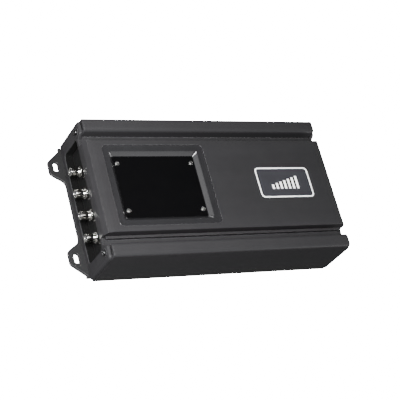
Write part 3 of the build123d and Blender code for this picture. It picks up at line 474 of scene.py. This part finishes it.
def box_mask(tree, centre, half):
    """1 inside a box, 0 outside it: each axis's distance from the centre is compared with its half size."""
    place = tree.nodes.new("ShaderNodeTexCoord")
    split = tree.nodes.new("ShaderNodeSeparateXYZ")
    tree.links.new(place.outputs["Object"], split.inputs[0])
    mask = None
    for axis in range(3):
        gone = math_node(tree, "ABSOLUTE", split.outputs[axis])
        if centre[axis]:
            shifted = math_node(tree, "SUBTRACT", split.outputs[axis], centre[axis])
            gone = math_node(tree, "ABSOLUTE", shifted)
        within = math_node(tree, "LESS_THAN", gone, half[axis])
        mask = within if mask is None else math_node(tree, "MULTIPLY", mask, within)
    return mask


def mouth_shade_box():
    """The box inside both end caps' mouths, behind their lips, that gets painted shade: its centre and half
    sizes.
    """
    low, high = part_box("input_panel")
    reach = -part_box("end_cap_left")[0][0] - LIP_DEPTH
    inset = PANEL_LAP - 0.05 * MM
    half = (reach, (high[1] - low[1]) / 2 - inset, (high[2] - low[2]) / 2 - inset)
    return (0.0, (low[1] + high[1]) / 2, (low[2] + high[2]) / 2), half


def make_finish(
    name, colour, roughness, *, cloud=0.25, grains=3000.0, clouds=25.0, along=1.0, height=0.02 * MM,
    spread=0.08, metallic=0.0, edge=0.35, edge_colour=GREY, radius=None, dust=0.01,
    coat=0.0, level=0.5, painted_shade_box=None,
):
    """One finish: a clouded colour, lighter edges that are partly wear and partly painted highlight, a
    trace of dust, painted shade inside a box where one is given, uneven gloss and a fine bump.
    """
    material = bpy.data.materials.get(name)
    if material:
        return material
    settings = bpy.context.scene.amplifier_finish
    material = bpy.data.materials.new(name)
    material.use_nodes = True
    tree = material.node_tree
    shader = tree.nodes["Principled BSDF"]
    shader.inputs["Metallic"].default_value = metallic
    shader.inputs["Specular IOR Level"].default_value = level
    shader.inputs["Coat Weight"].default_value = coat
    shader.inputs["Coat Roughness"].default_value = 0.04
    grain = shared(tree, "surface grain", Grains_per_metre=grains, Clouds_per_metre=clouds, Along_X=along)
    edges = shared(tree, "edge wear and highlight", Radius=settings.edge_radius if radius is None else radius)
    film = shared(tree, "settled dust", Amount=dust)
    dark = tuple(c * (1.0 - cloud) for c in colour)
    light = tuple(min(1.0, c * (1.0 + cloud)) for c in colour)
    tone = mix_colour(tree, grain.outputs["Clouding"], dark, light)
    # Lighter colour at sharp edges: partly wear, partly painted highlight.
    worn_and_highlit = mix_colour(tree, math_node(tree, "MULTIPLY", edges.outputs["Mask"], edge), tone, edge_colour)
    dust_and_shade_colour = mix_colour(tree, film.outputs["Mask"], worn_and_highlit, DUST)
    uneven = math_node(tree, "MULTIPLY_ADD", grain.outputs["Clouding"], spread, roughness - spread / 2)
    # Painted shade: inside the box the colour is mixed to near-black and the roughness to matt.
    if painted_shade_box:
        inside = box_mask(tree, *painted_shade_box)
        dust_and_shade_colour = mix_colour(tree, inside, dust_and_shade_colour, RECESS_PAINTED_SHADE)
        uneven = math_node(
            tree, "MULTIPLY_ADD", inside, RECESS_ROUGHNESS - roughness, uneven, clamp=True,
        )
    tree.links.new(dust_and_shade_colour, shader.inputs["Base Color"])
    tree.links.new(uneven, shader.inputs["Roughness"])
    bump = tree.nodes.new("ShaderNodeBump")
    bump.inputs["Distance"].default_value = height
    tree.links.new(grain.outputs["Height"], bump.inputs["Height"])
    tree.links.new(edges.outputs["Normal"], bump.inputs["Normal"])
    tree.links.new(bump.outputs[0], shader.inputs["Normal"])
    return material


def finish_for(kind):
    """The finish of one kind, made the first time that it is asked for."""
    s = bpy.context.scene.amplifier_finish
    table = {
        "satin coat": (s.coat_colour, s.coat_roughness, dict(
            along=0.06, grains=2600.0, edge_colour=GREY, level=0.08)),
        # The caps' coat carries painted shade inside their mouths.
        "cap coat with painted mouth shade": (s.coat_colour, s.coat_roughness, dict(
            grains=2600.0, edge_colour=GREY, edge=0.12, level=0.08, painted_shade_box=mouth_shade_box())),
        "plate paint": (s.plate_colour, 0.46, dict(height=0.03 * MM, edge=0.25, level=0.2)),
        # Painted shade: the end panels deep in the caps' mouths are painted darker than the plates.
        "panel paint with painted shade": ((0.004, 0.004, 0.004), 0.5, dict(
            height=0.03 * MM, edge=0.1, dust=0.004, level=0.3)),
        "frame moulding": (s.frame_colour, 0.20, dict(height=0.008 * MM, spread=0.05, edge=0.2)),
        "smoked pane": (s.pane_colour, 0.05, dict(
            cloud=0.1, height=0.0003 * MM, spread=0.02, edge=0.1, dust=0.0015)),
        # Painted shade: a darker copy of the nickel for the window's screws, standing in for the dark they
        # reflect.
        "nickel darkened as painted shade": ((0.40, 0.40, 0.39), 0.30, dict(
            metallic=1.0, cloud=0.08, height=0.004 * MM, edge=0.35, edge_colour=(0.7, 0.7, 0.68),
            radius=0.1 * MM, spread=0.1, clouds=300.0)),
        "bright nickel": (s.nickel_colour, 0.18, dict(
            metallic=1.0, cloud=0.06, height=0.004 * MM, edge=0.3, edge_colour=(0.9, 0.88, 0.85),
            radius=0.1 * MM, spread=0.1, clouds=300.0)),
        "black oxide": ((0.05, 0.05, 0.052), 0.34, dict(metallic=1.0, edge_colour=STEEL, radius=0.12 * MM)),
        "badge field": ((0.022, 0.022, 0.026), 0.22, dict(height=0.006 * MM, coat=0.3, edge=0.15)),
        "badge enamel": (s.badge_line_colour, 0.25, dict(
            cloud=0.04, height=0.004 * MM, edge=0.1, edge_colour=(0.95, 0.95, 0.95),
            radius=0.15 * MM, coat=0.4)),
        "black plastic": ((0.014, 0.014, 0.015), 0.5, dict(height=0.04 * MM, radius=0.2 * MM, edge=0.15)),
        "green fuse": ((0.02, 0.36, 0.09), 0.18, dict(
            height=0.006 * MM, radius=0.25 * MM, edge=0.1, coat=0.3)),
        "tin plate": ((0.66, 0.66, 0.67), 0.3, dict(metallic=1.0, cloud=0.1, radius=0.1 * MM)),
        "board mask": (s.board_colour, 0.3, dict(clouds=240.0, cloud=0.35, height=0.02 * MM, grains=900.0)),
        "zinc steel": ((0.52, 0.53, 0.55), 0.32, dict(metallic=1.0, cloud=0.12, radius=0.15 * MM)),
        "coated core": ((0.05, 0.14, 0.08), 0.5, dict(height=0.06 * MM, clouds=120.0)),
        "enamelled copper": ((0.62, 0.24, 0.10), 0.24, dict(
            metallic=1.0, cloud=0.15, radius=0.2 * MM, coat=0.6)),
        "shrink sleeve": ((0.010, 0.011, 0.022), 0.25, dict(height=0.01 * MM, coat=0.3)),
        "dipped film": ((0.30, 0.03, 0.02), 0.22, dict(height=0.03 * MM, grains=700.0, coat=0.4)),
        "silicone pad": ((0.34, 0.35, 0.38), 0.7, dict(height=0.03 * MM)),
        "knob grey": ((0.10, 0.10, 0.105), 0.4, dict(height=0.02 * MM, radius=0.25 * MM)),
        "slider white": ((0.62, 0.62, 0.60), 0.4, dict(height=0.02 * MM, radius=0.25 * MM, cloud=0.06)),
    }
    colour, roughness, extra = table[kind]
    return make_finish(kind, tuple(colour), roughness, **extra)


def coat_nodes(kind, names):
    """Puts one finish on CAD nodes as they stand."""
    material = finish_for(kind)
    for name in names:
        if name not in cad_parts:
            raise RuntimeError(f"no node named {name}")
        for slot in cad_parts[name].material_slots:
            slot.material = material


# ---------------------------------------------------------------- operators


class AMP_OT_housing(bpy.types.Operator):
    """Coat the extrusion, cover, caps, plates, pane and badge plate"""

    bl_idname = "amplifier.housing"
    bl_label = "Housing"

    def execute(self, context):
        coat_nodes("satin coat", ["heatsink_body", "top_cover"])
        coat_nodes("cap coat with painted mouth shade", ["end_cap_left", "end_cap_right"])
        coat_nodes("plate paint", ["base_plate", "control_panel"])
        coat_nodes("panel paint with painted shade", ["input_panel", "output_panel"])
        coat_nodes("smoked pane", ["window_panel"])
        coat_nodes("badge field", ["badge_plate"])
        coat_nodes("badge enamel", ["badge_bars"])
        coat_nodes("black oxide", ["base_screws"])
        return {"FINISHED"}


class AMP_OT_inside(bpy.types.Operator):
    """Finish the boards, windings, capacitors and transistors"""

    bl_idname = "amplifier.inside"
    bl_label = "Inside"

    def execute(self, context):
        coat_nodes("board mask", ["main_board", "control_board", "input_board"])
        coat_nodes("black plastic", ["supply_transistors", "output_transistors", "switch_bodies"])
        coat_nodes("zinc steel", ["board_standoffs", "board_screws", "clamp_bars", "clamp_screws"])
        coat_nodes("zinc steel", ["control_posts", "control_pots"])
        coat_nodes("coated core", ["toroid_core", "output_inductor_cores"])
        coat_nodes("enamelled copper", ["toroid_winding", "output_inductor_coils"])
        coat_nodes("shrink sleeve", ["filter_capacitors"])
        coat_nodes("dipped film", ["output_capacitors"])
        coat_nodes("silicone pad", ["thermal_pads"])
        return {"FINISHED"}


class AMP_OT_controls(bpy.types.Operator):
    """Finish the knobs and slide switches under the window"""

    bl_idname = "amplifier.controls"
    bl_label = "Controls"

    def execute(self, context):
        names = sorted(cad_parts)
        coat_nodes("knob grey", [n for n in names if n.startswith("knob_")])
        coat_nodes("slider white", [n for n in names if n.startswith("slider_")])
        return {"FINISHED"}


class AMP_OT_terminals(bpy.types.Operator):
    """Finish the terminal blocks, clamps, fuses and the inside of the jacks"""

    bl_idname = "amplifier.terminals"
    bl_label = "Terminals"

    def execute(self, context):
        coat_nodes("black plastic", ["power_terminal_block", "speaker_terminal_block", "fuse_holder"])
        coat_nodes("bright nickel", ["power_terminal_clamps", "speaker_terminal_clamps", "rca_washers"])
        coat_nodes("green fuse", ["fuse_bodies"])
        coat_nodes("tin plate", ["fuse_blades"])
        coat_nodes("black plastic", ["rca_insulators"])
        coat_nodes("tin plate", ["rca_contacts"])
        return {"FINISHED"}


class AMP_OT_window_frame(bpy.types.Operator):
    """Make the window's frame: a dished ring, a soft rim and a steep slope down to the pane"""

    bl_idname = "amplifier.window_frame"
    bl_label = "Window frame"

    def execute(self, context):
        s = context.scene.amplifier_sizes
        low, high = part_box("window_bezel")
        pane_low, pane_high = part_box("window_panel")
        half_x, half_y = (high[0] - low[0]) / 2, (high[1] - low[1]) / 2
        rim_x, rim_y = s.frame_rim_length / 2, s.frame_rim_width / 2
        rim_top = pane_high[2] + s.frame_slope
        foot_x, foot_y = rim_x - s.frame_slope, rim_y - s.frame_slope
        shelf_x, shelf_y = foot_x - 8.7 * MM, foot_y - 3.0 * MM
        corners = [
            (half_x, half_y, 5.0 * MM, low[2]),
            (half_x, half_y, 5.0 * MM, high[2]),
            (half_x - 0.5 * MM, half_y - 0.5 * MM, 4.6 * MM, high[2]),
            (half_x - 1.6 * MM, half_y - 1.5 * MM, 4.2 * MM, high[2] - 0.45 * MM),
            (rim_x + 1.2 * MM, rim_y + 1.1 * MM, 3.3 * MM, rim_top - 0.02 * MM),
            (rim_x, rim_y, 3.0 * MM, rim_top),
            (foot_x, foot_y, 1.2 * MM, pane_high[2]),
            (foot_x, foot_y, 1.2 * MM, pane_low[2]),
            (shelf_x, shelf_y, 3.0 * MM, pane_low[2]),
            (shelf_x, shelf_y, 3.0 * MM, low[2]),
        ]
        eases = [v * MM for v in (0.1, 0.2, 0.2, 0.4, 0.4, 0.35, 0.15, 0.1, 0.2, 0.2)]
        grid = corner_ring(softened(corners, eases), centre_of("window_bezel"))
        make_piece(
            "window_frame", grid, [(0, 0, 0)], True, finish_for("frame moulding"),
            ["window_bezel"],
        )
        return {"FINISHED"}


class AMP_OT_window_screws(bpy.types.Operator):
    """Make the bright cross-head screws at the pane's corners"""

    bl_idname = "amplifier.window_screws"
    bl_label = "Window screws"

    def execute(self, context):
        s = context.scene.amplifier_sizes
        low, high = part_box("window_screws")
        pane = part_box("window_panel")[1][2]
        r = s.window_head_radius
        grid = screw_head(r, high[2] - pane, 1.5 * MM, pane - low[2], "cross")
        inset = (high[0] - low[0]) / 2 - PANE_SCREW_REACH
        places = [
            (x, y, pane)
            for x in (low[0] + inset, high[0] - inset)
            for y in (low[1] + inset, high[1] - inset)
        ]
        make_piece(
            "window_screw_heads", grid, places, False, finish_for("nickel darkened as painted shade"),
            ["window_screws"],
        )
        return {"FINISHED"}


class AMP_OT_cap_screws(bpy.types.Operator):
    """Make the two cross-head screws of each end cap"""

    bl_idname = "amplifier.cap_screws"
    bl_label = "Cap screws"

    def execute(self, context):
        s = context.scene.amplifier_sizes
        r = s.cap_head_radius
        head = CAP_HEAD_HEIGHT
        for node, direction, outer, sign in (
            ("cap_screws_left", "-x", 0, -1.0), ("cap_screws_right", "+x", 1, 1.0),
        ):
            low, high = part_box(node)
            tip = (low, high)[outer][0]
            shank_end = (high, low)[outer][0]
            seat = tip - sign * head
            grid = aimed(screw_head(r, head, 1.8 * MM, abs(seat - shank_end), "cross"), direction)
            places = [(seat, y, low[2] + r) for y in (low[1] + r, high[1] - r)]
            make_piece(
                node + "_heads", grid, places, False, finish_for("black oxide"), [node],
            )
        return {"FINISHED"}


class AMP_OT_badge_line(bpy.types.Operator):
    """Make the badge's border as a raised, softly crowned line"""

    bl_idname = "amplifier.badge_line"
    bl_label = "Badge line"

    def execute(self, context):
        line = context.scene.amplifier_sizes.border_line
        low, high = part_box("badge_border")
        half_x, half_y = (high[0] - low[0]) / 2, (high[1] - low[1]) / 2
        rise = np.linspace(0.0, math.pi, 11)
        inset = line / 2 * (1.0 - np.cos(rise))
        top = high[2] + 0.16 * MM * np.sin(rise)
        crown = np.stack([half_x - inset, half_y - inset, BADGE_CORNER - inset, top], axis=1)
        foot = [
            (half_x - line, half_y - line, BADGE_CORNER - line, low[2]),
            (half_x, half_y, BADGE_CORNER, low[2]),
        ]
        grid = corner_ring(np.vstack([crown, foot]), centre_of("badge_border"))
        make_piece(
            "badge_line", grid, [(0, 0, 0)], True, finish_for("badge enamel"),
            ["badge_border"],
        )
        return {"FINISHED"}


def jack_rows():
    """Where the four jacks stand: the middle of each, from the ends of the row less a flange's radius."""
    low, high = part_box("rca_shells")
    flange = (high[2] - low[2]) / 2
    across = np.linspace(low[1] + flange, high[1] - flange, 4)
    level = (low[2] + high[2]) / 2
    return [(0.0, y, level) for y in across], low, high, flange


class AMP_OT_jack_barrels(bpy.types.Operator):
    """Make the jacks' plated barrels, with a fine thread in front of each nut and eased lips"""

    bl_idname = "amplifier.jack_barrels"
    bl_label = "Jack barrels"

    def execute(self, context):
        s = context.scene.amplifier_sizes
        places, low, high, flange = jack_rows()
        tip, root = -low[0], -high[0]
        panel = -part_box("input_panel")[1][0]
        bore = s.barrel_radius - s.barrel_wall
        nut_front = -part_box("rca_nuts")[0][0]
        along = np.linspace(nut_front + 3.6 * MM, nut_front + 0.4 * MM, 70)
        depth = 0.14 * MM * (0.5 - 0.5 * np.cos(2 * math.pi * along / (0.75 * MM)))
        fade = np.clip((nut_front + 3.6 * MM - along) / (0.6 * MM), 0.0, 1.0)
        thread = np.stack([s.barrel_radius - depth * fade, along], axis=1)
        lip = softened(
            [(bore, tip - 3 * MM), (bore, tip), (s.barrel_radius, tip), (s.barrel_radius, tip - 1 * MM)],
            [0.0, 0.22 * MM, 0.35 * MM, 0.0],
        )[5:15]
        back = [
            (s.thread_radius, nut_front + 0.4 * MM),
            (s.thread_radius, panel),
            (flange, panel),
            (flange, panel - 1.5 * MM),
            (s.thread_radius, panel - 1.5 * MM),
            (s.thread_radius, root),
            (1.6 * MM, root),
            (1.6 * MM, tip - 11 * MM),
            (bore, tip - 11 * MM),
        ]
        outline = np.vstack([lip, thread, back])
        grid = aimed(turned(outline, 72), "-x")
        make_piece(
            "jack_barrels", grid, places, True, finish_for("bright nickel"), ["rca_shells"],
        )
        return {"FINISHED"}


class AMP_OT_jack_nuts(bpy.types.Operator):
    """Make the jacks' chamfered hexagon nuts"""

    bl_idname = "amplifier.jack_nuts"
    bl_label = "Jack nuts"

    def execute(self, context):
        s = context.scene.amplifier_sizes
        places = jack_rows()[0]
        low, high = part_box("rca_nuts")
        grid = aimed(hexagon_nut(s.nut_across, s.thread_radius + 0.05 * MM, high[0] - low[0]), "-x")
        places = [(high[0], y, z) for x, y, z in places]
        make_piece("jack_nuts", grid, places, True, finish_for("bright nickel"), ["rca_nuts"])
        return {"FINISHED"}


class AMP_OT_terminal_screws(bpy.types.Operator):
    """Make the slotted clamp screws of the power and speaker terminals"""

    bl_idname = "amplifier.terminal_screws"
    bl_label = "Terminal screws"

    def execute(self, context):
        for node, count in (("power_terminal_screws", 3), ("speaker_terminal_screws", 8)):
            low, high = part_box(node)
            r = (high[2] - low[2]) / 2
            head = TERMINAL_HEAD_HEIGHT
            grid = aimed(screw_head(r, head, r * 0.6, high[0] - low[0] - head, "slot"), "+x")
            across = np.linspace(low[1] + r, high[1] - r, count)
            places = [(high[0] - head, y, low[2] + r) for y in across]
            make_piece(node + "_heads", grid, places, False, finish_for("bright nickel"), [node])
        return {"FINISHED"}


def soft_light(name, place, target, width, height, power):
    """A rectangular soft light at a place, turned to a target."""
    data = bpy.data.lights.new(name, "AREA")
    data.shape = "RECTANGLE"
    data.size = width
    data.size_y = height
    data.energy = power
    light = bpy.data.objects.new(name, data)
    bpy.context.scene.collection.objects.link(light)
    light.location = place
    aim = np.asarray(target, float) - np.asarray(place, float)
    light.rotation_euler = Vector(aim).to_track_quat("-Z", "Y").to_euler()
    return light


def polar(azimuth, elevation, distance):
    """A place at an angle round Z from +X, a height angle and a distance from the amplifier."""
    a, e = math.radians(azimuth), math.radians(elevation)
    return (
        distance * math.cos(e) * math.cos(a),
        distance * math.cos(e) * math.sin(a),
        0.03 + distance * math.sin(e),
    )


MIDDLE = (0, 0, 0.03)
# Each lamp's name, place, target, width, height and power in watts.
LAMPS = (
    ("overhead_box", (-0.42, -0.16, 0.53), (-0.06, 0, 0.03), 0.16, 0.40, 22.5),
    ("front_right_box", polar(-56, 24, 2.2), MIDDLE, 1.4, 0.7, 5.0),
    ("left_rear_box", polar(153, 28, 2.2), MIDDLE, 1.4, 0.7, 7.0),
    ("front_low_box", polar(-38, 4, 1.1), (0.10, 0, 0.03), 0.6, 0.16, 9.0),
    ("rear_low_box", polar(96, 9, 1.8), MIDDLE, 1.2, 0.4, 12.0),
    ("right_low_box", polar(4, 9, 1.8), MIDDLE, 1.0, 0.4, 12.0),
)


class AMP_OT_stage(bpy.types.Operator):
    """Lay the pale floor, hang the soft lights and stand the camera"""

    bl_idname = "amplifier.stage"
    bl_label = "Stage"

    def execute(self, context):
        s = context.scene.amplifier_stage
        half = s.floor_size / 2
        mesh = bpy.data.meshes.new("studio_floor")
        corners = [(-half, -half, 0), (half, -half, 0), (half, half, 0), (-half, half, 0)]
        mesh.from_pydata(corners, [], [(0, 1, 2, 3)])
        floor = bpy.data.objects.new("studio_floor", mesh)
        context.scene.collection.objects.link(floor)
        material = bpy.data.materials.new("studio floor")
        material.use_nodes = True
        tree = material.node_tree
        shader = tree.nodes["Principled BSDF"]
        shader.inputs["Roughness"].default_value = 0.9
        shader.inputs["Specular IOR Level"].default_value = 0.0
        place = tree.nodes.new("ShaderNodeTexCoord")
        patches = noise(tree, place.outputs["Object"], 3.0)
        shade = mix_colour(tree, patches, (0.06, 0.06, 0.06), (0.07, 0.07, 0.07))
        tree.links.new(shade, shader.inputs["Base Color"])
        shader.inputs["Emission Color"].default_value = (1.0, 1.0, 1.0, 1.0)
        ray = tree.nodes.new("ShaderNodeLightPath")
        glow = math_node(tree, "MULTIPLY", ray.outputs["Is Camera Ray"], s.floor_glow)
        tree.links.new(glow, shader.inputs["Emission Strength"])
        mesh.materials.append(material)

        world = bpy.data.worlds.new("studio air")
        context.scene.world = world
        world.use_nodes = True
        tree = world.node_tree
        place = tree.nodes.new("ShaderNodeTexCoord")
        split = tree.nodes.new("ShaderNodeSeparateXYZ")
        tree.links.new(place.outputs["Generated"], split.inputs[0])
        lift = math_node(tree, "MULTIPLY", split.outputs[2], 1.6, clamp=True)
        sky = mix_colour(tree, lift, (0.30, 0.30, 0.30), (0.05, 0.05, 0.05))
        back = tree.nodes["Background"]
        tree.links.new(sky, back.inputs["Color"])
        back.inputs["Strength"].default_value = 0.7

        for lamp in LAMPS:
            soft_light(*lamp)

        data = bpy.data.cameras.new("studio_camera")
        data.sensor_width = 36.0
        data.lens = s.lens
        data.clip_end = 100.0
        camera = bpy.data.objects.new("studio_camera", data)
        context.scene.collection.objects.link(camera)
        ahead = Vector(s.camera_heading).normalized()
        right = ahead.cross(Vector(s.camera_upright)).normalized()
        up = right.cross(ahead)
        turn = Matrix((right, up, -ahead)).transposed()
        camera.matrix_world = Matrix.Translation(s.camera_place) @ turn.to_4x4()
        context.scene.camera = camera
        return {"FINISHED"}


STEPS = (
    AMP_OT_housing, AMP_OT_inside, AMP_OT_controls, AMP_OT_terminals, AMP_OT_window_frame,
    AMP_OT_window_screws, AMP_OT_cap_screws, AMP_OT_badge_line, AMP_OT_jack_barrels, AMP_OT_jack_nuts,
    AMP_OT_terminal_screws, AMP_OT_stage,
)
SETTINGS = (
    ("amplifier_finish", AmplifierFinish), ("amplifier_sizes", AmplifierSizes),
    ("amplifier_stage", AmplifierStage),
)


class AMP_PT_panel(bpy.types.Panel):
    """The amplifier's settings and build steps"""

    bl_idname = "AMP_PT_panel"
    bl_label = "Car amplifier"
    bl_space_type = "VIEW_3D"
    bl_region_type = "UI"
    bl_category = "Amplifier"

    def draw(self, context):
        for name, group in SETTINGS:
            box = self.layout.box()
            box.label(text=group.__doc__)
            for field in group.__annotations__:
                box.prop(getattr(context.scene, name), field)
        for step in STEPS:
            self.layout.operator(step.bl_idname)


def register():
    for name, group in SETTINGS:
        bpy.utils.register_class(group)
        setattr(bpy.types.Scene, name, bpy.props.PointerProperty(type=group))
    for step in STEPS:
        bpy.utils.register_class(step)
    bpy.utils.register_class(AMP_PT_panel)


def unregister():
    bpy.utils.unregister_class(AMP_PT_panel)
    for step in reversed(STEPS):
        bpy.utils.unregister_class(step)
    for name, group in reversed(SETTINGS):
        delattr(bpy.types.Scene, name)
        bpy.utils.unregister_class(group)


def main():
    """Registers the add-on and runs every step in order."""
    register()
    for step in STEPS:
        group, name = step.bl_idname.split(".")
        getattr(getattr(bpy.ops, group), name)()


if __name__ == "__main__":
    main()
